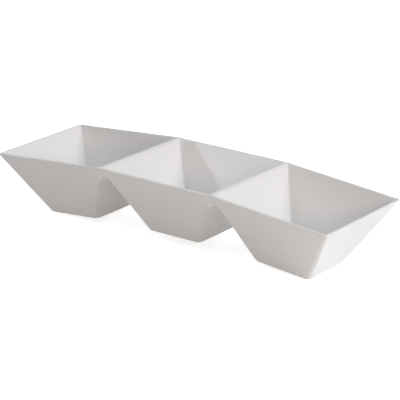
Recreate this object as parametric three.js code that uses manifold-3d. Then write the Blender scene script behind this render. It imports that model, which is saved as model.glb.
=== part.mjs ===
// Three-section serving dish: three alike square bowls, joined rim to rim in a low arch.
// Millimetres, +Z up, +X along the row, -Y towards the front. The origin lies on the table,
// under the middle of the row.

import * as THREE from 'three';
import { mergeVertices } from 'three/addons/utils/BufferGeometryUtils.js';
import Module from 'manifold-3d';

const wasm = await Module();
wasm.setup();

// One bowl. Widths are taken to the sharp edges, before these are rounded.
const RIM_WIDTH = 122.9; // across the square rim
const BASE_WIDTH = 57.2; // across the square underside
const BOWL_HEIGHT = 62.1; // underside to rim
const WALL = 4.2; // wall thickness at the floor, measured level
const RIM_BREADTH = 3; // across the rim's top, measured level
const FLOOR = 5; // floor thickness
const RIM_SLOPE = THREE.MathUtils.degToRad(30); // fall of the rim's top towards the inside
const OUTER_RIM_ROUNDING = 0.3; // outer edge of the rim
const INNER_RIM_ROUNDING = 2; // inner edge of the rim
const BASE_ROUNDING = 2.5; // edge between underside and walls
const FLOOR_ROUNDING = 6; // hollow between floor and walls
const RIM_CORNER = 2.5; // outer corners seen from above, at the rim
const BASE_CORNER = 4; // outer corners seen from above, at the underside
const INNER_RIM_CORNER = 1.2; // inner corners seen from above, at the rim
const INNER_FLOOR_CORNER = 2.5; // inner corners seen from above, at the floor

// The row
const END_TILT = THREE.MathUtils.degToRad(4.8); // each end bowl leans outwards by this
const RIDGE_GAP = 0.45; // between the facing rims of two neighbours
const BRIDGE_DEPTH = 11; // height of the strip that joins two neighbours
const BRIDGE_SINK = 0.9; // top of that strip below the rims
const BRIDGE_END_INSET = 1; // ends of that strip behind the front and back walls
const JOIN_CLEARANCE = 0.3; // between a bowl and each piece luted to it

// One foot ring
const FOOT_INSET = 5.6; // from the edge of the underside to the ring
const FOOT_WIDTH = 6; // breadth of the ring's bars
const FOOT_HEIGHT = 1.5; // thickness of the ring
const FOOT_CORNER = 4; // outer corners of the ring, seen from above
const FOOT_INNER_CORNER = 2; // inner corners of the ring, seen from above
const LANDING_CUT = 0.1; // ground off the inner edge of an outer bar to make it stand level

// Facets
const CORNER_STEPS = 4; // for each quarter turn seen from above
const ROUNDING_STEPS = 3; // for each rounded edge of the section
const MERGE_TOLERANCE = 1e-4; // vertices closer than this are one

// Worked out from the sizes above
const WALL_LEAN = Math.atan((RIM_WIDTH - BASE_WIDTH) / 2 / BOWL_HEIGHT);
const FOOT_OUTER_HALF = BASE_WIDTH / 2 - FOOT_INSET;
const FOOT_INNER_HALF = FOOT_OUTER_HALF - FOOT_WIDTH;
const FOOT_DROP = JOIN_CLEARANCE + FOOT_HEIGHT;
const RIM_LEVEL =
  (RIM_WIDTH / 2 + FOOT_INNER_HALF) * Math.sin(END_TILT) +
  (BOWL_HEIGHT + FOOT_DROP) * Math.cos(END_TILT) -
  LANDING_CUT;

const GLAZE = { color: 0xf0eeeb, roughness: 0.1, metalness: 0 };
const BARE_CLAY = { color: 0xe6ddcf, roughness: 0.9, metalness: 0 };

/** Corner points of a rounded square, anticlockwise seen from above. */
function roundedSquare(half, radius) {
  const points = [];
  for (let corner = 0; corner < 4; corner += 1) {
    const turn = (corner * Math.PI) / 2;
    const centre = new THREE.Vector2(half - radius, half - radius);
    centre.rotateAround(new THREE.Vector2(), turn);
    const arc = new THREE.EllipseCurve(centre.x, centre.y, radius, radius, turn, turn + Math.PI / 2);
    points.push(...arc.getPoints(CORNER_STEPS));
  }
  return points;
}

/** Arc that rounds the corner of a section between its neighbours, as points in order. */
function roundedEdge(before, corner, after, radius) {
  const back = before.clone().sub(corner).normalize();
  const onward = after.clone().sub(corner).normalize();
  const halfAngle = Math.acos(back.dot(onward)) / 2;
  const start = corner.clone().addScaledVector(back, radius / Math.tan(halfAngle));
  const middle = back.clone().add(onward).normalize();
  const centre = corner.clone().addScaledVector(middle, radius / Math.sin(halfAngle));
  const swing = Math.PI - 2 * halfAngle;
  const sense = Math.sign(onward.cross(back));
  const points = [];
  for (let step = 0; step <= ROUNDING_STEPS; step += 1) {
    const angle = (sense * swing * step) / ROUNDING_STEPS;
    points.push(start.clone().rotateAround(centre, angle));
  }
  return points;
}

/** Half section of a bowl: up the outside, over the rim and down the inside (x half width, y height). */
function bowlSection() {
  const lean = Math.tan(WALL_LEAN);
  const underside = new THREE.Vector2(0, 0);
  const baseEdge = new THREE.Vector2(BASE_WIDTH / 2, 0);
  const outerRim = new THREE.Vector2(RIM_WIDTH / 2, BOWL_HEIGHT);
  const rimFall = RIM_BREADTH * Math.tan(RIM_SLOPE);
  const innerRim = new THREE.Vector2(RIM_WIDTH / 2 - RIM_BREADTH, BOWL_HEIGHT - rimFall);
  const floorEdge = new THREE.Vector2(BASE_WIDTH / 2 + FLOOR * lean - WALL, FLOOR);
  const floor = new THREE.Vector2(0, FLOOR);
  const outside = [
    ...roundedEdge(underside, baseEdge, outerRim, BASE_ROUNDING),
    ...roundedEdge(baseEdge, outerRim, innerRim, OUTER_RIM_ROUNDING),
  ];
  const inside = [
    ...roundedEdge(outerRim, innerRim, floorEdge, INNER_RIM_ROUNDING),
    ...roundedEdge(innerRim, floorEdge, floor, FLOOR_ROUNDING),
  ];
  return { outside, inside };
}

/** Square bowl as rings of rounded squares, closed by the underside and the floor. */
function bowlGeometry() {
  const { outside, inside } = bowlSection();
  const { mapLinear } = THREE.MathUtils;
  const rings = [
    ...outside.map(({ x, y }) => ({
      half: x,
      height: y,
      radius: mapLinear(y, 0, BOWL_HEIGHT, BASE_CORNER, RIM_CORNER),
    })),
    ...inside.map(({ x, y }) => ({
      half: x,
      height: y,
      radius: mapLinear(y, FLOOR, BOWL_HEIGHT, INNER_FLOOR_CORNER, INNER_RIM_CORNER),
    })),
  ];
  const places = [];
  for (const { half, height, radius } of rings) {
    for (const { x, y } of roundedSquare(half, radius)) {
      places.push(x, y, height);
    }
  }
  const perRing = places.length / 3 / rings.length;
  const undersideCentre = places.length / 3;
  const floorCentre = undersideCentre + 1;
  places.push(0, 0, 0, 0, 0, FLOOR);

  const faces = [];
  const lastRing = (rings.length - 1) * perRing;
  for (let point = 0; point < perRing; point += 1) {
    const next = (point + 1) % perRing;
    faces.push(undersideCentre, next, point);
    for (let ring = 0; ring < lastRing; ring += perRing) {
      const above = ring + perRing;
      faces.push(ring + point, ring + next, above + next);
      faces.push(ring + point, above + next, above + point);
    }
    faces.push(lastRing + point, lastRing + next, floorCentre);
  }
  const geometry = new THREE.BufferGeometry();
  geometry.setAttribute('position', new THREE.Float32BufferAttribute(places, 3));
  geometry.setIndex(faces);
  geometry.computeVertexNormals();
  return geometry;
}

/** Square ring of bare clay, hanging just below the underside of its bowl. */
function footRingGeometry() {
  const outline = new THREE.Shape(roundedSquare(FOOT_OUTER_HALF, FOOT_CORNER));
  outline.holes.push(new THREE.Path(roundedSquare(FOOT_INNER_HALF, FOOT_INNER_CORNER)));
  const geometry = new THREE.ExtrudeGeometry(outline, { depth: FOOT_HEIGHT, bevelEnabled: false });
  return geometry.translate(0, 0, -FOOT_DROP);
}

/** Strip in the V between the middle bowl and the end bowl on one side (1 right, -1 left). */
function bridgeGeometry(side) {
  const facingLean = WALL_LEAN - END_TILT;
  const geometry = new THREE.BoxGeometry(1, 1, 1);
  const corners = geometry.attributes.position;
  for (let i = 0; i < corners.count; i += 1) {
    const below = corners.getZ(i) > 0 ? BRIDGE_SINK : BRIDGE_SINK + BRIDGE_DEPTH;
    const middleWall = RIM_WIDTH / 2 - below * Math.tan(WALL_LEAN);
    const middleFace = middleWall + JOIN_CLEARANCE / Math.cos(WALL_LEAN);
    const endWall = RIM_WIDTH / 2 + RIDGE_GAP + below * Math.tan(facingLean);
    const endFace = endWall - JOIN_CLEARANCE / Math.cos(facingLean);
    const towardsEnd = corners.getX(i) * side > 0;
    const x = side * (towardsEnd ? endFace : middleFace);
    const y = Math.sign(corners.getY(i)) * (middleWall - BRIDGE_END_INSET);
    corners.setXYZ(i, x, y, RIM_LEVEL - below);
  }
  geometry.computeVertexNormals();
  return geometry;
}

/** Closed solid of a geometry, for cutting. */
function toSolid(geometry) {
  const bare = geometry.clone();
  bare.deleteAttribute('normal');
  bare.deleteAttribute('uv');
  const { attributes, index } = mergeVertices(bare, MERGE_TOLERANCE);
  const vertProperties = new Float32Array(attributes.position.array);
  const triVerts = new Uint32Array(index.array);
  return new wasm.Manifold(new wasm.Mesh({ numProp: 3, vertProperties, triVerts }));
}

/** Geometry of a cut solid. */
function toGeometry(solid) {
  const { vertProperties, triVerts } = solid.getMesh();
  const geometry = new THREE.BufferGeometry();
  geometry.setAttribute('position', new THREE.BufferAttribute(vertProperties, 3));
  geometry.setIndex(new THREE.BufferAttribute(triVerts, 1));
  geometry.computeVertexNormals();
  return geometry;
}

/** Foot ring of an end bowl, ground level with the table where its outer bar stands. */
function landedFootRing(bowlPlace) {
  const table = new THREE.BoxGeometry(BASE_WIDTH, BASE_WIDTH, BASE_WIDTH);
  const bowlCentre = new THREE.Vector3().setFromMatrixPosition(bowlPlace);
  table.translate(bowlCentre.x, bowlCentre.y, -BASE_WIDTH / 2);
  table.applyMatrix4(bowlPlace.clone().invert());
  return toGeometry(toSolid(footRingGeometry()).subtract(toSolid(table)));
}

function piece(name, geometry, finish) {
  const mesh = new THREE.Mesh(geometry, new THREE.MeshStandardMaterial(finish));
  mesh.name = name;
  return mesh;
}

const dish = new THREE.Group();

const middle = new THREE.Group();
middle.position.z = RIM_LEVEL - BOWL_HEIGHT;
middle.add(piece('middle_bowl', bowlGeometry(), GLAZE));
middle.add(piece('middle_foot_ring', footRingGeometry(), BARE_CLAY));
dish.add(middle);

for (const [name, side] of [['left', -1], ['right', 1]]) {
  // An end bowl leans about the rim edge that faces the middle bowl.
  const facingRim = new THREE.Group();
  facingRim.position.set(side * (RIM_WIDTH / 2 + RIDGE_GAP), 0, RIM_LEVEL);
  facingRim.rotation.y = side * END_TILT;
  dish.add(facingRim);

  const end = new THREE.Group();
  end.position.set((side * RIM_WIDTH) / 2, 0, -BOWL_HEIGHT);
  facingRim.add(end);
  facingRim.updateMatrixWorld(true);

  end.add(piece(`${name}_bowl`, bowlGeometry(), GLAZE));
  end.add(piece(`${name}_foot_ring`, landedFootRing(end.matrixWorld), BARE_CLAY));
  dish.add(piece(`${name}_rim_bridge`, bridgeGeometry(side), GLAZE));
}

export default dish;
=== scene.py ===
"""Looks of a three-section serving dish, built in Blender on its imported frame.

Three alike square bowls of white glazed ceramic stand in a row. A strip of the same clay joins each pair of
neighbours along their rims, the end bowls lean outwards, and under each bowl is a low foot ring of bare clay.
Lengths are metres: +X runs along the row, +Z is up and -Y is the front.
"""

import logging
import math
from collections.abc import Sequence
from dataclasses import dataclass, field
from enum import Enum
from typing import ClassVar

import bmesh
import bpy
from mathutils import Matrix, Quaternion, Vector


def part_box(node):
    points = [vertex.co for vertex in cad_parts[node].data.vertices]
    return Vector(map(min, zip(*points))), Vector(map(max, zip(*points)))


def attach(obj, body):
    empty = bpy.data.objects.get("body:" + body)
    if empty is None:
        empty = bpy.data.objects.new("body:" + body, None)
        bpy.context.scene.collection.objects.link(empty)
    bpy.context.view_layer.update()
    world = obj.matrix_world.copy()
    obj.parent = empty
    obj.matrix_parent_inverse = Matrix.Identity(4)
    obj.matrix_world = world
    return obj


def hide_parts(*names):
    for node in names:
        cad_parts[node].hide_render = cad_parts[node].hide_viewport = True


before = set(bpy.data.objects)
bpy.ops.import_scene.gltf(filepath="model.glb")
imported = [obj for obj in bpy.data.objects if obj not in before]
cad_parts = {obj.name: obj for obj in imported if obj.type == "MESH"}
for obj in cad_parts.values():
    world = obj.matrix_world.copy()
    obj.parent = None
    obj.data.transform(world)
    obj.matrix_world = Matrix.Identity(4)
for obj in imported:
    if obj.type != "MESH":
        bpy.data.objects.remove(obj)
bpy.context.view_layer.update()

LOG = logging.getLogger("serving_dish")
BODY = "root"
MILLIMETRE = 0.001
FOOT_OUTER_HALF = 23 * MILLIMETRE
FOOT_INNER_HALF = 17 * MILLIMETRE
GLAZE_DEPTH = "glaze_depth"  # vertex value: 0 thin, 0.5 ordinary, 1 pooled
BARE_CLAY = "bare_clay"  # vertex value: 1 where the glaze was wiped off
GROUND_FACE = "ground_face"  # vertex value: 1 where the foot was ground level

Colour = tuple[float, float, float]


class Place(Enum):
    """Place of a bowl in the row. The value is its side of the middle, along +X."""

    LEFT = -1
    MIDDLE = 0
    RIGHT = 1

    def node(self, piece: str) -> str:
        """Name of the CAD node of this place's piece, such as left_bowl."""
        return f"{self.name.lower()}_{piece}"


class Slot(Enum):
    """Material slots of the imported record."""

    WHITE_GLAZE = "white_glaze"
    BARE_CLAY = "bare_clay"


class Stretch(Enum):
    """Stretches of a bowl's section. The value is the depth of glaze along the sides and at the corners."""

    BASE_EDGE = (0.45, 0.4)
    OUTSIDE = (0.5, 0.3)
    OUTER_RIM_EDGE = (0.12, 0.05)
    RIM_MIDDLE = (0.3, 0.25)
    INNER_RIM_EDGE = (0.12, 0.12)
    INSIDE = (0.5, 0.8)
    FLOOR_EDGE = (0.85, 1.0)
    FLOOR = (0.6, 0.6)

    @property
    def inside(self) -> bool:
        """Whether the stretch lies on the inside of the bowl."""
        return self in (Stretch.INNER_RIM_EDGE, Stretch.INSIDE, Stretch.FLOOR_EDGE, Stretch.FLOOR)


class Effect(Enum):
    """Shader node groups that both finishes use."""

    MOTTLE = "kiln_mottle"
    SPECKS = "clay_specks"
    RIPPLE = "surface_ripple"


def rounded(before: Vector, corner: Vector, after: Vector, radius: float, steps: int) -> list[Vector]:
    """Round a corner of a section.

    Args:
        before: The section's point before the corner.
        corner: The sharp corner.
        after: The section's point after the corner.
        radius: Radius of the rounding.
        steps: Number of facets.

    Returns:
        Points of the arc, in the section's order.
    """
    back = (before - corner).normalized()
    onward = (after - corner).normalized()
    half_angle = back.angle(onward) / 2
    centre = corner + (back + onward).normalized() * (radius / math.sin(half_angle))
    spoke = corner + back * (radius / math.tan(half_angle)) - centre
    swing = math.copysign(math.pi - 2 * half_angle, onward.cross(back))
    return [centre + Matrix.Rotation(swing * step / steps, 2) @ spoke for step in range(steps + 1)]


def between(start: Vector, end: Vector, steps: int, margin: float) -> list[Vector]:
    """Divide the straight stretch between two arcs, with a point close to each arc to keep the shading flat.

    Args:
        start: Last point of the arc before.
        end: First point of the arc after.
        steps: Number of stretches between the two close points.
        margin: Distance from an arc to the close point.

    Returns:
        The points between the two ends, in order.
    """
    first = margin / (end - start).length
    shares = [first + (1 - 2 * first) * step / steps for step in range(steps + 1)]
    return [start.lerp(end, share) for share in shares]


@dataclass(frozen=True)
class SquareRing:
    """A rounded square, one ring of a lofted skin, with what its points carry.

    The sides that face a neighbour can stand further out and at another height than the free sides.
    """

    half: float
    height: float
    corner: float
    side_values: dict[str, float]
    corner_values: dict[str, float]
    joined: tuple[int, ...] = ()  # sides that face a neighbour: 1 at the right, -1 at the left
    joined_half: float = 0.0
    joined_height: float = 0.0

    CORNER_STEPS: ClassVar[int] = 8
    NEAR_SHARES: ClassVar[tuple[float, ...]] = (0.015, 0.05, 0.12, 0.22, 0.36)  # up to half of a side

    def spots(self) -> list[tuple[Vector, float]]:
        """Lay out the ring, seen from above.

        Returns:
            Points in order, anticlockwise, each with its share of corner from 0 to 1.
        """
        straight = self.half - self.corner
        far_shares = [1 - share for share in reversed(self.NEAR_SHARES)]
        side_shares = [*self.NEAR_SHARES, 0.5, *far_shares]
        spots = []
        for quarter in range(4):
            turn = Matrix.Rotation(quarter * math.pi / 2, 2)
            for step in range(self.CORNER_STEPS + 1):
                angle = math.pi / 2 * step / self.CORNER_STEPS
                reach = Vector((math.cos(angle), math.sin(angle))) * self.corner
                spots.append((turn @ (Vector((straight, straight)) + reach), math.sin(2 * angle)))
            for share in side_shares:
                spots.append((turn @ Vector((straight * (1 - 2 * share), self.half)), 0.0))
        return spots

    def placed(self, spot: Vector) -> Vector:
        """Place a point of the ring, which differs on the sides that face a neighbour.

        Args:
            spot: The point seen from above, on the free sides' square.

        Returns:
            The point with its height, in the frame of the ring's piece.
        """
        straight = self.half - self.corner
        place = Vector((spot.x, spot.y, self.height))
        for side in self.joined:
            place.x += side * (self.joined_half - self.half) * max(0.0, side * spot.x / self.half)
            beside = max(0.0, side * spot.x - straight) / self.corner
            place.z += (self.joined_height - self.height) * beside**2
        return place

    def add_to(self, mesh: bmesh.types.BMesh) -> list[bmesh.types.BMVert]:
        """Add the ring's points to a mesh.

        Args:
            mesh: Mesh that already has a float layer for each of the ring's values.

        Returns:
            The new vertices, in order.
        """
        loop = []
        for spot, corner_share in self.spots():
            vert = mesh.verts.new(self.placed(spot))
            for name, value in self.side_values.items():
                at_corner = self.corner_values.get(name, value)
                vert[mesh.verts.layers.float[name]] = value + (at_corner - value) * corner_share
            loop.append(vert)
        return loop


def skin(mesh: bmesh.types.BMesh, loops: Sequence[Sequence[bmesh.types.BMVert]]) -> None:
    """Join each loop of vertices to the next with quads.

    Args:
        mesh: Mesh of the vertices.
        loops: Loops of equal length, in order.
    """
    for lower, upper in zip(loops, loops[1:]):
        count = len(lower)
        for point in range(count):
            following = (point + 1) % count
            mesh.faces.new((lower[point], lower[following], upper[following], upper[point]))


def fan(mesh: bmesh.types.BMesh, loop: Sequence[bmesh.types.BMVert], upwards: bool) -> None:
    """Close a level loop with triangles round a vertex at its middle.

    Args:
        mesh: Mesh of the loop.
        loop: Vertices of the loop, anticlockwise from above.
        upwards: Whether the triangles face up.
    """
    middle = mesh.verts.new(sum((vert.co for vert in loop), Vector()) / len(loop))
    for layer in mesh.verts.layers.float.values():
        middle[layer] = loop[0][layer]
    for vert, following in zip(loop, [*loop[1:], loop[0]]):
        mesh.faces.new((vert, following, middle) if upwards else (following, vert, middle))


def shown_piece(mesh: bmesh.types.BMesh, node: str) -> bpy.types.Object:
    """Turn a finished mesh into a piece that stands for a CAD node.

    Args:
        mesh: The mesh, in the dish's frame. It is freed.
        node: Name of the CAD node.

    Returns:
        The new object, riding on the dish's body.
    """
    name = f"{node}_form"
    data = bpy.data.meshes.new(name)
    mesh.normal_update()
    mesh.to_mesh(data)
    mesh.free()
    piece = bpy.data.objects.new(name, data)
    bpy.context.scene.collection.objects.link(piece)
    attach(piece, BODY)
    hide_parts(node)
    return piece


@dataclass(frozen=True)
class Row:
    """How the bowls stand: the level of the rims, the lean of the end bowls and the gaps between rims."""

    rim_level: float
    bowl_height: float
    rim_width: float = 122.4 * MILLIMETRE
    base_width: float = 57.2 * MILLIMETRE
    end_tilt: float = math.radians(4.8)
    ridge_gap: float = 0.9 * MILLIMETRE

    @property
    def wall_lean(self) -> float:
        """Lean of a bowl's walls from the upright, in radians."""
        return math.atan((self.rim_width - self.base_width) / 2 / self.bowl_height)

    def stand(self, place: Place) -> Matrix:
        """Find how a bowl stands.

        Args:
            place: The bowl's place in the row.

        Returns:
            Matrix from the bowl's own frame, at the middle of its underside, to the dish's frame.
        """
        if place is Place.MIDDLE:
            return Matrix.Translation((0, 0, self.rim_level - self.bowl_height))
        side = place.value
        facing_rim = (side * (self.rim_width / 2 + self.ridge_gap), 0, self.rim_level)
        underside = (side * self.rim_width / 2, 0, -self.bowl_height)
        lean = Matrix.Rotation(side * self.end_tilt, 4, "Y")
        return Matrix.Translation(facing_rim) @ lean @ Matrix.Translation(underside)


@dataclass
class Bowl:
    """One square bowl: tapered walls, floor, rounded rim and the wiped clay round its foot."""

    place: Place
    row: Row
    shave: float = 0.05 * MILLIMETRE  # taken off each side, so that the finer roundings stay in the CAD box
    wall: float = 4.2 * MILLIMETRE  # at the floor, measured level
    rim_breadth: float = 3 * MILLIMETRE  # across the rim's top, measured level
    floor: float = 5 * MILLIMETRE
    rim_slope: float = math.radians(6)  # fall of the rim's top towards the inside
    joined_rim_slope: float = math.radians(30)  # the same where the bowl meets a neighbour
    outer_rim_rounding: float = 0.8 * MILLIMETRE
    joined_outer_rim_rounding: float = 0.3 * MILLIMETRE
    inner_rim_rounding: float = 1.2 * MILLIMETRE
    base_rounding: float = 2.5 * MILLIMETRE
    floor_rounding: float = 6 * MILLIMETRE
    rim_corner: float = 2.5 * MILLIMETRE
    base_corner: float = 4 * MILLIMETRE
    inner_rim_corner: float = 1.2 * MILLIMETRE
    inner_floor_corner: float = 2.5 * MILLIMETRE
    foot_outer: float = FOOT_OUTER_HALF
    foot_inner: float = FOOT_INNER_HALF
    wiped_margin: float = 1.1 * MILLIMETRE  # over which the wiped clay round the foot fades into glaze
    underside_glaze: tuple[float, float] = (0.5, 0.5)
    underside_shares: tuple[float, ...] = (0.3, 0.7)  # extra rings within the foot
    floor_shares: tuple[float, ...] = (0.04, 0.4, 0.8)  # extra rings from the floor's edge to its middle
    rounding_steps: int = 6
    wall_steps: int = 18
    margin: float = 0.7 * MILLIMETRE  # from an arc to the ring that keeps the wall beside it flat

    def joined_sides(self) -> tuple[int, ...]:
        """Sides that face a neighbour: 1 at the right, -1 at the left."""
        return (-1, 1) if self.place is Place.MIDDLE else (-self.place.value,)

    def ring(
        self, point: Vector, joined: Vector, inside: bool, glaze: tuple[float, float], bare: float = 0
    ) -> SquareRing:
        """Ring of the skin at a point of the section.

        Args:
            point: Half width and height on the free sides.
            joined: Half width and height on the sides that face a neighbour.
            inside: Whether the point lies on the inside of the bowl.
            glaze: Depth of the glaze along the sides, and at the corners.
            bare: Share of bare clay.

        Returns:
            The ring, with the corner radius that belongs to its height.
        """
        rise = point.y / self.row.bowl_height
        low = self.inner_floor_corner if inside else self.base_corner
        high = self.inner_rim_corner if inside else self.rim_corner
        return SquareRing(
            half=point.x,
            height=point.y,
            corner=min(low + (high - low) * rise, point.x / 2),
            side_values={GLAZE_DEPTH: glaze[0], BARE_CLAY: bare},
            corner_values={GLAZE_DEPTH: glaze[1]},
            joined=self.joined_sides(),
            joined_half=joined.x,
            joined_height=joined.y,
        )

    def underside_rings(self, edge: Vector) -> list[SquareRing]:
        """Lay out the underside, with the wiped clay round its foot.

        Args:
            edge: Point of the section where the underside's rounded edge starts.

        Returns:
            Rings from the underside's middle to that edge.
        """
        wiped = (self.foot_inner, (self.foot_inner + self.foot_outer) / 2, self.foot_outer)
        halves = [
            *(self.foot_inner * share for share in self.underside_shares),
            self.foot_inner - self.wiped_margin,
            *wiped,
            self.foot_outer + self.wiped_margin,
            edge.x - self.margin,
        ]
        rings = []
        for half in halves:
            spot = Vector((half, 0))
            rings.append(self.ring(spot, spot, False, self.underside_glaze, float(half in wiped)))
        return rings

    def section(self, slope: float, rounding: float) -> dict[Stretch, list[Vector]]:
        """Section of a side, from the edge of the underside to the floor.

        Args:
            slope: Fall of the rim's top towards the inside.
            rounding: Radius of the rim's outer edge.

        Returns:
            Points of each stretch, in order: half width and height.
        """
        lean = math.tan(self.row.wall_lean)
        height = self.row.bowl_height
        rim_half = self.row.rim_width / 2 - self.shave
        base_half = self.row.base_width / 2 - self.shave
        underside = Vector((0, 0))
        base_edge = Vector((base_half, 0))
        floor_edge = Vector((base_half + self.floor * lean - self.wall, self.floor))
        floor = Vector((0, self.floor))
        outer_rim = Vector((rim_half, height))
        rim_top = Vector((-1, -math.tan(slope))) * self.rim_breadth

        steps = self.rounding_steps
        blunted = rounded(base_edge, outer_rim, outer_rim + rim_top, rounding, steps)
        lost = height - max(point.y for point in blunted)
        outer_rim += Vector((lean, 1)) * lost  # so that the rounded edge reaches the rim's full height
        inner_rim = outer_rim + rim_top
        base_arc = rounded(underside, base_edge, outer_rim, self.base_rounding, steps)
        outer_arc = rounded(base_edge, outer_rim, inner_rim, rounding, steps)
        inner_arc = rounded(outer_rim, inner_rim, floor_edge, self.inner_rim_rounding, steps)
        floor_arc = rounded(inner_rim, floor_edge, floor, self.floor_rounding, steps)
        return {
            Stretch.BASE_EDGE: base_arc,
            Stretch.OUTSIDE: between(base_arc[-1], outer_arc[0], self.wall_steps, self.margin),
            Stretch.OUTER_RIM_EDGE: outer_arc,
            Stretch.RIM_MIDDLE: [outer_arc[-1].lerp(inner_arc[0], 0.5)],
            Stretch.INNER_RIM_EDGE: inner_arc,
            Stretch.INSIDE: between(inner_arc[-1], floor_arc[0], self.wall_steps, self.margin),
            Stretch.FLOOR_EDGE: floor_arc,
            Stretch.FLOOR: [floor_arc[-1].lerp(floor, share) for share in self.floor_shares],
        }

    def rings(self) -> list[SquareRing]:
        """Lay out the whole skin.

        Returns:
            Rings along the underside, up the outside, over the rim and down to the floor.
        """
        free = self.section(self.rim_slope, self.outer_rim_rounding)
        joined = self.section(self.joined_rim_slope, self.joined_outer_rim_rounding)
        rings = self.underside_rings(free[Stretch.BASE_EDGE][0])
        for stretch in Stretch:
            for point, joined_point in zip(free[stretch], joined[stretch]):
                rings.append(self.ring(point, joined_point, stretch.inside, stretch.value))
        return rings

    def build(self) -> bpy.types.Object:
        """Make the bowl's mesh and stand it in the row.

        Returns:
            The bowl's object.
        """
        mesh = bmesh.new()
        for name in (GLAZE_DEPTH, BARE_CLAY):
            mesh.verts.layers.float.new(name)
        loops = [ring.add_to(mesh) for ring in self.rings()]
        skin(mesh, loops)
        fan(mesh, loops[0], upwards=False)
        fan(mesh, loops[-1], upwards=True)
        for face in mesh.faces:
            face.smooth = True
        mesh.transform(self.row.stand(self.place))
        return shown_piece(mesh, self.place.node("bowl"))

    def dress(self, piece: bpy.types.Object, glaze: bpy.types.Material) -> None:
        """Give the bowl its glaze."""
        piece.data.materials.append(glaze)


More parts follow.
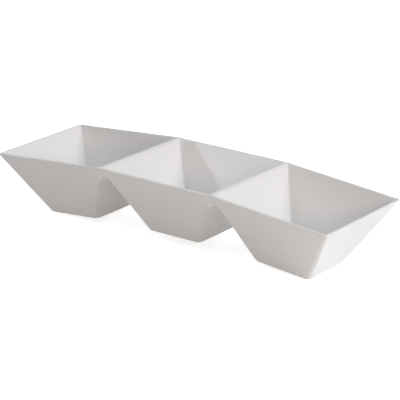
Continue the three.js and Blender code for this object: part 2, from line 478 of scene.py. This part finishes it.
@dataclass
class RimBridge:
    """Strip of clay in the V between the middle bowl and an end bowl, hollowed on top and arched below."""

    place: Place
    row: Row
    depth: float = 12 * MILLIMETRE  # from the rims to the top of the arch
    sink: float = 0.1 * MILLIMETRE  # edges of its top below the rims
    hollow: float = 0.1 * MILLIMETRE  # how much lower the middle of its top lies
    bite: float = 0.5 * MILLIMETRE  # how far it runs into both rims, where the slip has fused them
    low_bite: float = 2 * MILLIMETRE  # how far it runs into both walls below
    tuck: float = 0.15 * MILLIMETRE  # how far the ends of the arch run into both bowls
    end_inset: float = 0.25 * MILLIMETRE  # ends behind the front and back walls
    end_rounding: float = 4.5 * MILLIMETRE  # of the arch's edges at both ends
    edge_rounding: float = 0.4 * MILLIMETRE
    top_steps: int = 10
    arch_steps: int = 18
    end_steps: int = 7
    edge_steps: int = 3
    edge_angle: float = math.radians(50)  # edges sharper than this are rounded
    glaze_depth: float = 0.9
    lengthwise: tuple[float, ...] = (0.9, 0.7, 0.4, 0, -0.4, -0.7, -0.9)

    def middle_wall(self, rise: float) -> float:
        """Place along the row of the middle bowl's wall, at a height above the rims."""
        return self.row.rim_width / 2 + rise * math.tan(self.row.wall_lean)

    def end_wall(self, rise: float) -> float:
        """Place along the row of the end bowl's wall, at a height above the rims."""
        facing_lean = self.row.wall_lean - self.row.end_tilt
        return self.row.rim_width / 2 + self.row.ridge_gap - rise * math.tan(facing_lean)

    def top(self) -> list[Vector]:
        """Lay out the hollowed top of the section.

        Returns:
            Points from the middle bowl to the end bowl: place along the row, height above the rims.
        """
        start = self.middle_wall(-self.sink) - self.bite
        length = self.end_wall(-self.sink) + self.bite - start
        points = []
        for step in range(self.top_steps + 1):
            share = step / self.top_steps
            low = self.hollow * math.sin(math.pi * share) ** 2
            points.append(Vector((start + length * share, -self.sink - low)))
        return points

    def arch(self, depth: float) -> list[Vector]:
        """Lay out the arched underside of a section, an arc that touches both bowls' walls.

        Args:
            depth: From the rims to the top of the arch.

        Returns:
            Points from the end bowl to the middle bowl: place along the row, height above the rims.
        """
        facing_lean = self.row.wall_lean - self.row.end_tilt
        half_angle = (self.row.wall_lean + facing_lean) / 2
        opening = math.tan(self.row.wall_lean) + math.tan(facing_lean)
        spread = 2 * self.tuck / math.cos(half_angle)
        apex_rise = (self.row.ridge_gap + spread) / opening
        apex = Vector((self.middle_wall(apex_rise) - spread / 2, apex_rise))
        radius = (apex_rise + depth) / (1 / math.sin(half_angle) - 1)
        downwards = -math.pi / 2 - self.row.end_tilt / 2
        bisector = Vector((math.cos(downwards), math.sin(downwards)))
        centre = apex + bisector * (radius / math.sin(half_angle))
        first = math.pi / 2 - self.row.end_tilt / 2 - (math.pi / 2 - half_angle)
        points = []
        for step in range(self.arch_steps + 1):
            angle = first + (math.pi - 2 * half_angle) * step / self.arch_steps
            points.append(centre + Vector((math.cos(angle), math.sin(angle))) * radius)
        return points

    def section(self, depth: float) -> list[Vector]:
        """Lay out a whole section.

        Args:
            depth: From the rims to the top of the arch.

        Returns:
            Points in order round the section: place along the row, height above the rims.
        """
        arch = self.arch(depth)
        into_end = Vector((self.end_wall(arch[0].y) + self.low_bite, arch[0].y))
        into_middle = Vector((self.middle_wall(arch[-1].y) - self.low_bite, arch[-1].y))
        return [*self.top(), into_end, *arch, into_middle]

    def stations(self) -> list[tuple[float, float, float]]:
        """Where the sections stand, from front to back.

        Returns:
            For each section its share of the way from the middle to an end, how far it stands in from that
            end, and its depth, which is less within the rounding of the ends.
        """
        rounding = []
        for step in range(self.end_steps + 1):
            angle = math.pi / 2 * step / self.end_steps
            inwards = self.end_rounding * (1 - math.cos(angle))
            rounding.append((inwards, self.depth - self.end_rounding * (1 - math.sin(angle))))
        front = [(-1.0, inwards, depth) for inwards, depth in rounding]
        middle = [(-share, 0.0, self.depth) for share in self.lengthwise]
        back = [(1.0, inwards, depth) for inwards, depth in reversed(rounding)]
        return [*front, *middle, *back]

    def build(self) -> bpy.types.Object:
        """Make the strip's mesh, from front to back, with rounded ends.

        Returns:
            The strip's object.
        """
        side = self.place.value
        mesh = bmesh.new()
        glaze = mesh.verts.layers.float.new(GLAZE_DEPTH)
        mesh.verts.layers.float.new(BARE_CLAY)
        loops = []
        for share, inwards, depth in self.stations():
            loop = []
            for point in self.section(depth):
                reach = self.middle_wall(point.y) - self.end_inset - inwards
                vert = mesh.verts.new((side * point.x, share * reach, self.row.rim_level + point.y))
                vert[glaze] = self.glaze_depth
                loop.append(vert)
            loops.append(loop)
        skin(mesh, loops)
        mesh.faces.new(reversed(loops[0]))
        mesh.faces.new(loops[-1])
        bmesh.ops.recalc_face_normals(mesh, faces=mesh.faces)
        for face in mesh.faces:
            face.smooth = len(face.verts) == 4
        piece = shown_piece(mesh, self.place.node("rim_bridge"))
        bevel = piece.modifiers.new("rounded_ends", "BEVEL")
        bevel.width = self.edge_rounding
        bevel.segments = self.edge_steps
        bevel.limit_method = "ANGLE"
        bevel.angle_limit = self.edge_angle
        return piece

    def dress(self, piece: bpy.types.Object, glaze: bpy.types.Material) -> None:
        """Give the strip the bowls' glaze."""
        piece.data.materials.append(glaze)


@dataclass
class FootRing:
    """Low square ring of bare clay under a bowl. An end ring is ground level where it stands."""

    place: Place
    row: Row
    outer_half: float = FOOT_OUTER_HALF
    inner_half: float = FOOT_INNER_HALF
    drop: float = 1.8 * MILLIMETRE  # its bottom below the underside
    sunk: float = 0.2 * MILLIMETRE  # into the underside, where the slip has fused them
    taper: float = 0.3 * MILLIMETRE  # how much narrower each side is at the bottom
    outer_corner: float = 4 * MILLIMETRE
    inner_corner: float = 2 * MILLIMETRE
    edge_rounding: float = 0.5 * MILLIMETRE
    rounding_steps: int = 4

    def rings(self) -> list[SquareRing]:
        """Lay out the skin.

        Returns:
            Rings along the bottom, up the outside, across the top and down the inside.
        """
        outer_top = Vector((self.outer_half, self.sunk))
        inner_top = Vector((self.inner_half, self.sunk))
        outer_low = Vector((self.outer_half - self.taper, -self.drop))
        inner_low = Vector((self.inner_half + self.taper, -self.drop))
        outer_arc = rounded(inner_low, outer_low, outer_top, self.edge_rounding, self.rounding_steps)
        inner_arc = rounded(inner_top, inner_low, outer_low, self.edge_rounding, self.rounding_steps)
        bottom = inner_arc[-1].lerp(outer_arc[0], 0.5)
        on_ground = {GROUND_FACE: 1.0}
        off_ground = {GROUND_FACE: 0.0}
        middle_corner = (self.outer_corner + self.inner_corner) / 2
        return [
            SquareRing(bottom.x, bottom.y, middle_corner, on_ground, {}),
            *(SquareRing(point.x, point.y, self.outer_corner, off_ground, {}) for point in outer_arc),
            SquareRing(outer_top.x, outer_top.y, self.outer_corner, off_ground, {}),
            SquareRing(inner_top.x, inner_top.y, self.inner_corner, off_ground, {}),
            *(SquareRing(point.x, point.y, self.inner_corner, off_ground, {}) for point in inner_arc),
        ]

    def grind(self, mesh: bmesh.types.BMesh) -> None:
        """Cut an end ring off level with the table and close the cut.

        Args:
            mesh: The ring's mesh, in the dish's frame.
        """
        geometry = [*mesh.verts, *mesh.edges, *mesh.faces]
        table = {"plane_co": (0, 0, 0), "plane_no": (0, 0, -1)}
        bmesh.ops.bisect_plane(mesh, geom=geometry, clear_outer=True, **table)
        cut = [edge for edge in mesh.edges if edge.is_boundary]
        bmesh.ops.holes_fill(mesh, edges=cut)
        ground = mesh.verts.layers.float[GROUND_FACE]
        for edge in cut:
            for vert in edge.verts:
                vert.co.z = 0.0
                vert[ground] = 1.0

    def build(self) -> bpy.types.Object:
        """Make the ring's mesh and stand it under its bowl.

        Returns:
            The ring's object.
        """
        mesh = bmesh.new()
        mesh.verts.layers.float.new(GROUND_FACE)
        loops = [ring.add_to(mesh) for ring in self.rings()]
        skin(mesh, [*loops, loops[0]])
        for face in mesh.faces:
            face.smooth = True
        mesh.transform(self.row.stand(self.place))
        if self.place is not Place.MIDDLE:
            self.grind(mesh)
        return shown_piece(mesh, self.place.node("foot_ring"))

    def dress(self, piece: bpy.types.Object, clay: bpy.types.Material) -> None:
        """Give the ring its bare clay."""
        piece.data.materials.append(clay)


class NodeSheet:
    """A node tree being laid out, with short ways to add nodes and to link them."""

    def __init__(self, tree: bpy.types.NodeTree) -> None:
        """Start on an emptied tree."""
        self.tree = tree
        tree.nodes.clear()

    def add(self, kind: str, values: dict[str, object] | None = None, **settings: object) -> bpy.types.Node:
        """Add a node.

        Args:
            kind: Type name of the node.
            values: Values of its inputs by name; an output socket is linked instead.
            settings: Properties of the node.

        Returns:
            The new node.
        """
        node = self.tree.nodes.new(kind)
        for name, setting in settings.items():
            setattr(node, name, setting)
        for name, value in (values or {}).items():
            self.feed(node.inputs[name], value)
        return node

    def feed(self, socket: bpy.types.NodeSocket, value: object) -> None:
        """Give an input socket its value.

        Args:
            socket: The input socket.
            value: An output socket to link, or a plain value.
        """
        if isinstance(value, bpy.types.NodeSocket):
            self.tree.links.new(value, socket)
        else:
            socket.default_value = value

    def arithmetic(self, operation: str, first: object, second: object) -> bpy.types.NodeSocket:
        """Add a Math node of two inputs.

        Args:
            operation: Operation of the node.
            first: First number or socket.
            second: Second number or socket.

        Returns:
            The result's socket.
        """
        node = self.tree.nodes.new("ShaderNodeMath")
        node.operation = operation
        self.feed(node.inputs[0], first)
        self.feed(node.inputs[1], second)
        return node.outputs[0]

    def blend(self, share: object, first: object, second: object, mode: str = "MIX") -> bpy.types.NodeSocket:
        """Add a colour Mix node.

        Args:
            share: Share of the second colour.
            first: First colour.
            second: Second colour.
            mode: Blend type of the node.

        Returns:
            The mixed colour's socket.
        """
        node = self.add("ShaderNodeMix", data_type="RGBA", blend_type=mode)
        sockets = [socket for socket in node.inputs if socket.enabled]
        for socket, value in zip(sockets, (share, first, second)):
            self.feed(socket, (*value, 1.0) if isinstance(value, tuple) else value)
        return next(socket for socket in node.outputs if socket.enabled)

    def effect(self, effect: Effect, **values: float) -> bpy.types.Node:
        """Add a shared effect's group.

        Args:
            effect: The effect.
            values: Values of its inputs by name.

        Returns:
            The new group node.
        """
        node = self.add("ShaderNodeGroup", node_tree=bpy.data.node_groups[effect.value])
        for name, value in values.items():
            node.inputs[name].default_value = value
        return node

    def vertex_value(self, name: str) -> bpy.types.NodeSocket:
        """Add an Attribute node for a vertex value and return the value."""
        return self.add("ShaderNodeAttribute", attribute_name=name).outputs["Fac"]


class SharedEffects:
    """Builds the node groups of the effects that both finishes use."""

    def start(
        self, effect: Effect, inputs: dict[str, float], output: str
    ) -> tuple[NodeSheet, dict[str, bpy.types.NodeSocket], bpy.types.Node]:
        """Open a new group.

        Args:
            effect: The effect.
            inputs: Default values by input name.
            output: Name of the one output.

        Returns:
            The sheet, the group's input sockets by name, and its output node.
        """
        tree = bpy.data.node_groups.new(effect.value, "ShaderNodeTree")
        for name, value in inputs.items():
            socket = tree.interface.new_socket(name, in_out="INPUT", socket_type="NodeSocketFloat")
            socket.default_value = value
        tree.interface.new_socket(output, in_out="OUTPUT", socket_type="NodeSocketFloat")
        sheet = NodeSheet(tree)
        entry = sheet.add("NodeGroupInput")
        return sheet, {name: entry.outputs[name] for name in inputs}, sheet.add("NodeGroupOutput")

    def noise(self, sheet: NodeSheet, size: object, detail: float) -> bpy.types.NodeSocket:
        """Add a noise in the dish's own frame.

        Args:
            sheet: The sheet to add it to.
            size: Rough size of its features, as a number or a socket.
            detail: Octaves of finer noise.

        Returns:
            The noise's socket.
        """
        places = sheet.add("ShaderNodeTexCoord").outputs["Object"]
        scale = sheet.arithmetic("DIVIDE", 1.0, size)
        node = sheet.add("ShaderNodeTexNoise", {"Vector": places, "Scale": scale, "Detail": detail})
        return node.outputs["Fac"]

    def mottle(self) -> None:
        """Slow changes of tone, as the kiln leaves them: a factor that varies about 1."""
        sheet, given, ending = self.start(Effect.MOTTLE, {"Size": 0.03, "Amount": 0.02}, "Tone")
        cloud = self.noise(sheet, given["Size"], detail=3.0)
        swing = sheet.arithmetic("SUBTRACT", cloud, 0.5)
        swing = sheet.arithmetic("MULTIPLY", swing, given["Amount"])
        sheet.feed(ending.inputs["Tone"], sheet.arithmetic("ADD", swing, 1.0))

    def specks(self) -> None:
        """Fine dark specks of iron in the clay: a mask from 0 to 1."""
        defaults = {"Size": 0.003, "Spread": 0.12, "Share": 0.3}
        sheet, given, ending = self.start(Effect.SPECKS, defaults, "Mask")
        places = sheet.add("ShaderNodeTexCoord").outputs["Object"]
        scale = sheet.arithmetic("DIVIDE", 1.0, given["Size"])
        cells = sheet.add("ShaderNodeTexVoronoi", {"Vector": places, "Scale": scale})
        near = sheet.arithmetic("LESS_THAN", cells.outputs["Distance"], given["Spread"])
        parts = sheet.add("ShaderNodeSeparateColor", {"Color": cells.outputs["Color"]})
        chosen = sheet.arithmetic("LESS_THAN", parts.outputs["Red"], given["Share"])
        sheet.feed(ending.inputs["Mask"], sheet.arithmetic("MULTIPLY", near, chosen))

    def ripple(self) -> None:
        """Height of a fired surface: a slow ripple with a finer grain on it."""
        defaults = {"Ripple": 0.012, "Grain": 0.001, "Graininess": 0.2}
        sheet, given, ending = self.start(Effect.RIPPLE, defaults, "Height")
        slow = self.noise(sheet, given["Ripple"], detail=1.0)
        fine = self.noise(sheet, given["Grain"], detail=2.0)
        fine = sheet.arithmetic("MULTIPLY", fine, given["Graininess"])
        sheet.feed(ending.inputs["Height"], sheet.arithmetic("ADD", slow, fine))

    def build(self) -> None:
        """Make all the groups."""
        self.mottle()
        self.specks()
        self.ripple()


def new_material(name: str) -> tuple[bpy.types.Material, NodeSheet, bpy.types.Node]:
    """Start a material.

    Args:
        name: Name of the material.

    Returns:
        The material, its sheet and its output node.
    """
    material = bpy.data.materials.new(name)
    material.use_nodes = True
    sheet = NodeSheet(material.node_tree)
    return material, sheet, sheet.add("ShaderNodeOutputMaterial")


@dataclass(frozen=True)
class WhiteGlaze:
    """Glossy white glaze on pale clay: thinner and warmer on edges, deeper and cooler where it pooled."""

    body: Colour = (0.80, 0.794, 0.788)
    thin: Colour = (0.79, 0.777, 0.762)
    pooled: Colour = (0.78, 0.777, 0.774)
    speck: Colour = (0.42, 0.35, 0.27)
    wiped: Colour = (0.70, 0.63, 0.53)
    smoothest: float = 0.02
    roughest: float = 0.035
    wiped_roughness: float = 0.8
    speck_strength: float = 0.25  # of the specks that show through the glaze
    ripple_height: float = 0.025 * MILLIMETRE

    def material(self) -> bpy.types.Material:
        """Make the glaze's material.

        Returns:
            The material, which reads the depth of glaze and the bare clay from the vertices.
        """
        material, sheet, ending = new_material("glossy_white_glaze")
        depth = sheet.vertex_value(GLAZE_DEPTH)
        bare = sheet.vertex_value(BARE_CLAY)
        tone = sheet.effect(Effect.MOTTLE, Size=0.035, Amount=0.05).outputs["Tone"]
        specks = sheet.effect(Effect.SPECKS, Size=0.006, Spread=0.035, Share=0.25).outputs["Mask"]
        ripple = sheet.effect(Effect.RIPPLE, Ripple=0.011, Grain=0.0011, Graininess=0.02)

        thinness = sheet.add("ShaderNodeMapRange", {"Value": depth, "From Min": 0.5, "From Max": 0.0})
        pooling = sheet.add("ShaderNodeMapRange", {"Value": depth, "From Min": 0.5, "From Max": 1.0})
        colour = sheet.blend(thinness.outputs["Result"], self.body, self.thin)
        colour = sheet.blend(pooling.outputs["Result"], colour, self.pooled)
        colour = sheet.blend(sheet.arithmetic("MULTIPLY", specks, self.speck_strength), colour, self.speck)
        colour = sheet.blend(1.0, colour, tone, "MULTIPLY")
        wiped = sheet.add("ShaderNodeMapRange", {"Value": bare, "From Min": 0.35, "From Max": 0.65})
        colour = sheet.blend(wiped.outputs["Result"], colour, self.wiped)

        sheen_values = {
            "Value": tone,
            "From Min": 0.985,
            "From Max": 1.015,
            "To Min": self.smoothest,
            "To Max": self.roughest,
        }
        sheen = sheet.add("ShaderNodeMapRange", sheen_values).outputs["Result"]
        rough_values = {"Value": wiped.outputs["Result"], "To Min": sheen, "To Max": self.wiped_roughness}
        roughness = sheet.add("ShaderNodeMapRange", rough_values).outputs["Result"]
        bump_values = {"Height": ripple.outputs["Height"], "Distance": self.ripple_height}
        bump = sheet.add("ShaderNodeBump", bump_values)
        surface_values = {"Base Color": colour, "Roughness": roughness, "Normal": bump.outputs["Normal"]}
        surface = sheet.add("ShaderNodeBsdfPrincipled", surface_values)
        sheet.feed(ending.inputs["Surface"], surface.outputs["BSDF"])
        return material


@dataclass(frozen=True)
class BareClay:
    """Unglazed fired clay: warm, matt and grainy, and paler where it was ground level."""

    body: Colour = (0.70, 0.63, 0.53)
    ground: Colour = (0.76, 0.70, 0.61)
    speck: Colour = (0.36, 0.27, 0.19)
    smoothest: float = 0.72
    roughest: float = 0.92
    speck_strength: float = 0.6
    grain_height: float = 0.12 * MILLIMETRE

    def material(self) -> bpy.types.Material:
        """Make the clay's material.

        Returns:
            The material, which reads the ground face from the vertices.
        """
        material, sheet, ending = new_material("bare_fired_clay")
        ground = sheet.vertex_value(GROUND_FACE)
        tone = sheet.effect(Effect.MOTTLE, Size=0.008, Amount=0.2).outputs["Tone"]
        specks = sheet.effect(Effect.SPECKS, Size=0.0022, Spread=0.16, Share=0.3).outputs["Mask"]
        ripple = sheet.effect(Effect.RIPPLE, Ripple=0.0022, Grain=0.0005, Graininess=0.7)

        colour = sheet.blend(ground, self.body, self.ground)
        colour = sheet.blend(sheet.arithmetic("MULTIPLY", specks, self.speck_strength), colour, self.speck)
        colour = sheet.blend(1.0, colour, tone, "MULTIPLY")
        rough_values = {
            "Value": tone,
            "From Min": 0.95,
            "From Max": 1.05,
            "To Min": self.smoothest,
            "To Max": self.roughest,
        }
        roughness = sheet.add("ShaderNodeMapRange", rough_values).outputs["Result"]
        bump_values = {"Height": ripple.outputs["Height"], "Distance": self.grain_height}
        bump = sheet.add("ShaderNodeBump", bump_values)
        surface_values = {"Base Color": colour, "Roughness": roughness, "Normal": bump.outputs["Normal"]}
        surface = sheet.add("ShaderNodeBsdfPrincipled", surface_values)
        sheet.feed(ending.inputs["Surface"], surface.outputs["BSDF"])
        return material


@dataclass(frozen=True)
class SoftBox:
    """A soft studio lamp: the bearing it hangs at from the dish, its size and its strength."""

    name: str
    azimuth: float  # degrees from +X towards the front
    elevation: float  # degrees above the table
    width: float
    height: float
    power: float
    colour: Colour = (1.0, 1.0, 1.0)
    turn: float = 0.0  # degrees about its own axis
    distance: float = 2.2

    def build(self, aim: Vector) -> bpy.types.Object:
        """Hang the lamp at its bearing from a point and turn it towards that point.

        Args:
            aim: The point.

        Returns:
            The lamp's object.
        """
        data = bpy.data.lights.new(self.name, "AREA")
        data.shape = "RECTANGLE"
        data.size = self.width
        data.size_y = self.height
        data.energy = self.power
        data.color = self.colour
        round_about = math.radians(self.azimuth)
        upwards = math.radians(self.elevation)
        level = Vector((math.cos(round_about), -math.sin(round_about), 0.0)) * math.cos(upwards)
        bearing = level + Vector((0.0, 0.0, math.sin(upwards)))
        lamp = bpy.data.objects.new(self.name, data)
        lamp.location = aim + bearing * self.distance
        facing = (-bearing).to_track_quat("-Z", "Y")
        own_turn = Quaternion((0.0, 0.0, 1.0), math.radians(self.turn))
        lamp.rotation_euler = (facing @ own_turn).to_euler()
        bpy.context.scene.collection.objects.link(lamp)
        return lamp


@dataclass
class Studio:
    """Pale floor, soft lamps, white surroundings and the camera that saw the photographed dish."""

    camera_place: Vector = field(default_factory=lambda: Vector((1.0086, -1.3771, 0.6239)))
    camera_aim: Vector = field(default_factory=lambda: Vector((0.008, 0.0, 0.0375)))
    camera_roll: float = math.radians(0.73)
    lens: float = 177.4
    sensor_width: float = 36.0
    lamp_aim: Vector = field(default_factory=lambda: Vector((0.0, 0.0, 0.04)))
    floor_half: float = 12.0
    floor_tone: Colour = (0.80, 0.80, 0.80)
    floor_glow: float = 0.78  # share of the floor's white that lamps and shadows don't change
    white_up_to: float = math.radians(8)  # the surroundings are white from the horizon to here
    dim_from: float = math.radians(18)  # and dim from here on upwards
    dim_white: float = 0.35

    def lamps(self) -> list[SoftBox]:
        """Choose the lamps.

        Returns:
            Keys from the right and behind it, fills round the front and left, a box at the left front whose
            edge the back wall of the middle bowl mirrors, and a small spot for the back rims.
        """
        return [
            SoftBox("right_lamp", 0, 30, 0.9, 0.9, 9.6, (0.90, 0.95, 1.0)),
            SoftBox("right_back_lamp", 330, 33, 1.0, 0.9, 18.9, (1.0, 0.99, 0.975)),
            SoftBox("high_back_lamp", 315, 56, 0.9, 0.9, 10.0, (0.985, 0.965, 1.0)),
            SoftBox("warm_low_fill", 52, 16, 0.9, 0.6, 10.9, (1.0, 0.87, 0.75)),
            SoftBox("high_front_fill", 80, 60, 0.9, 0.9, 6.9, (0.92, 0.94, 1.0)),
            SoftBox("left_fill", 178, 28, 0.9, 0.9, 4.2, (1.0, 0.985, 0.965)),
            SoftBox("left_front_box", 137.6, 41.5, 1.0, 0.672, 6.6, (0.975, 0.99, 1.0), turn=-20.7),
            SoftBox("high_left_spot", 192, 56, 0.36, 0.42, 1.25),
        ]

    def seen_directly(self, sheet: NodeSheet) -> bpy.types.NodeSocket:
        """Tell the rays that show a surface from those that light it.

        Args:
            sheet: The sheet to add the nodes to.

        Returns:
            Socket that is 1 for rays from the camera, mirrored rays and rays through glass.
        """
        path = sheet.add("ShaderNodeLightPath")
        seen = sheet.arithmetic("MAXIMUM", path.outputs["Is Camera Ray"], path.outputs["Is Glossy Ray"])
        return sheet.arithmetic("MAXIMUM", seen, path.outputs["Is Transmission Ray"])

    def floor(self) -> None:
        """Lay a floor that looks white, keeps the dish's shadow and is clear from below."""
        mesh = bmesh.new()
        bmesh.ops.create_grid(mesh, x_segments=1, y_segments=1, size=self.floor_half)
        data = bpy.data.meshes.new("floor")
        mesh.to_mesh(data)
        mesh.free()
        floor = bpy.data.objects.new("floor", data)
        bpy.context.scene.collection.objects.link(floor)

        material, sheet, ending = new_material("pale_floor")
        matt = sheet.add("ShaderNodeBsdfDiffuse", {"Color": (*self.floor_tone, 1.0)})
        glow = sheet.add("ShaderNodeEmission", {"Strength": self.floor_glow})
        lit = sheet.add("ShaderNodeAddShader")
        sheet.feed(lit.inputs[0], matt.outputs["BSDF"])
        sheet.feed(lit.inputs[1], glow.outputs["Emission"])
        shown = sheet.add("ShaderNodeMixShader", {"Fac": self.seen_directly(sheet)})
        sheet.feed(shown.inputs[1], matt.outputs["BSDF"])
        sheet.feed(shown.inputs[2], lit.outputs["Shader"])
        clear = sheet.add("ShaderNodeBsdfTransparent")
        below = sheet.add("ShaderNodeNewGeometry").outputs["Backfacing"]
        sides = sheet.add("ShaderNodeMixShader", {"Fac": below})
        sheet.feed(sides.inputs[1], shown.outputs["Shader"])
        sheet.feed(sides.inputs[2], clear.outputs["BSDF"])
        sheet.feed(ending.inputs["Surface"], sides.outputs["Shader"])
        data.materials.append(material)

    def surroundings(self) -> None:
        """Make the world look like a room with white walls and a dimmer ceiling, which gives no light."""
        world = bpy.data.worlds.new("white_room")
        world.use_nodes = True
        sheet = NodeSheet(world.node_tree)
        bearing = sheet.add("ShaderNodeTexCoord").outputs["Generated"]
        upwards = sheet.add("ShaderNodeSeparateXYZ", {"Vector": bearing}).outputs["Z"]
        fade_values = {
            "Value": upwards,
            "From Min": math.sin(self.white_up_to),
            "From Max": math.sin(self.dim_from),
            "To Min": 1.0,
            "To Max": self.dim_white,
        }
        fade = sheet.add("ShaderNodeMapRange", fade_values).outputs["Result"]
        white = sheet.add("ShaderNodeBackground", {"Color": (1.0, 1.0, 1.0, 1.0), "Strength": fade})
        shown = sheet.add("ShaderNodeMixShader", {"Fac": self.seen_directly(sheet)})
        sheet.feed(shown.inputs[2], white.outputs["Background"])
        ending = sheet.add("ShaderNodeOutputWorld")
        sheet.feed(ending.inputs["Surface"], shown.outputs["Shader"])
        bpy.context.scene.world = world

    def camera(self) -> None:
        """Set up the camera, with the small roll that the photographed edges show."""
        data = bpy.data.cameras.new("camera")
        data.lens = self.lens
        data.sensor_width = self.sensor_width
        camera = bpy.data.objects.new("camera", data)
        camera.location = self.camera_place
        camera.rotation_mode = "QUATERNION"
        level = (self.camera_aim - self.camera_place).to_track_quat("-Z", "Y")
        camera.rotation_quaternion = level @ Quaternion((0, 0, 1), self.camera_roll)
        bpy.context.scene.collection.objects.link(camera)
        bpy.context.scene.camera = camera

    def build(self) -> None:
        """Make the whole studio."""
        bpy.context.scene.view_settings.view_transform = "Standard"
        self.camera()
        self.floor()
        self.surroundings()
        for lamp in self.lamps():
            lamp.build(self.lamp_aim)


def packed_row() -> Row:
    """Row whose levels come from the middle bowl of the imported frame."""
    lowest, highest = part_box(Place.MIDDLE.node("bowl"))
    return Row(rim_level=highest.z, bowl_height=highest.z - lowest.z)


def main() -> None:
    """Build and dress the dish piece by piece, then the studio round it."""
    logging.basicConfig(level=logging.INFO, format="%(message)s")
    row = packed_row()
    SharedEffects().build()
    glaze = WhiteGlaze().material()
    clay = BareClay().material()
    for place in Place:
        parts = [(Bowl(place, row), glaze), (FootRing(place, row), clay)]
        if place is not Place.MIDDLE:
            parts.append((RimBridge(place, row), glaze))
        for part, finish in parts:
            piece = part.build()
            part.dress(piece, finish)
            LOG.info("%s: %d faces, %s", piece.name, len(piece.data.polygons), finish.name)
    Studio().build()


if __name__ == "__main__":
    main()
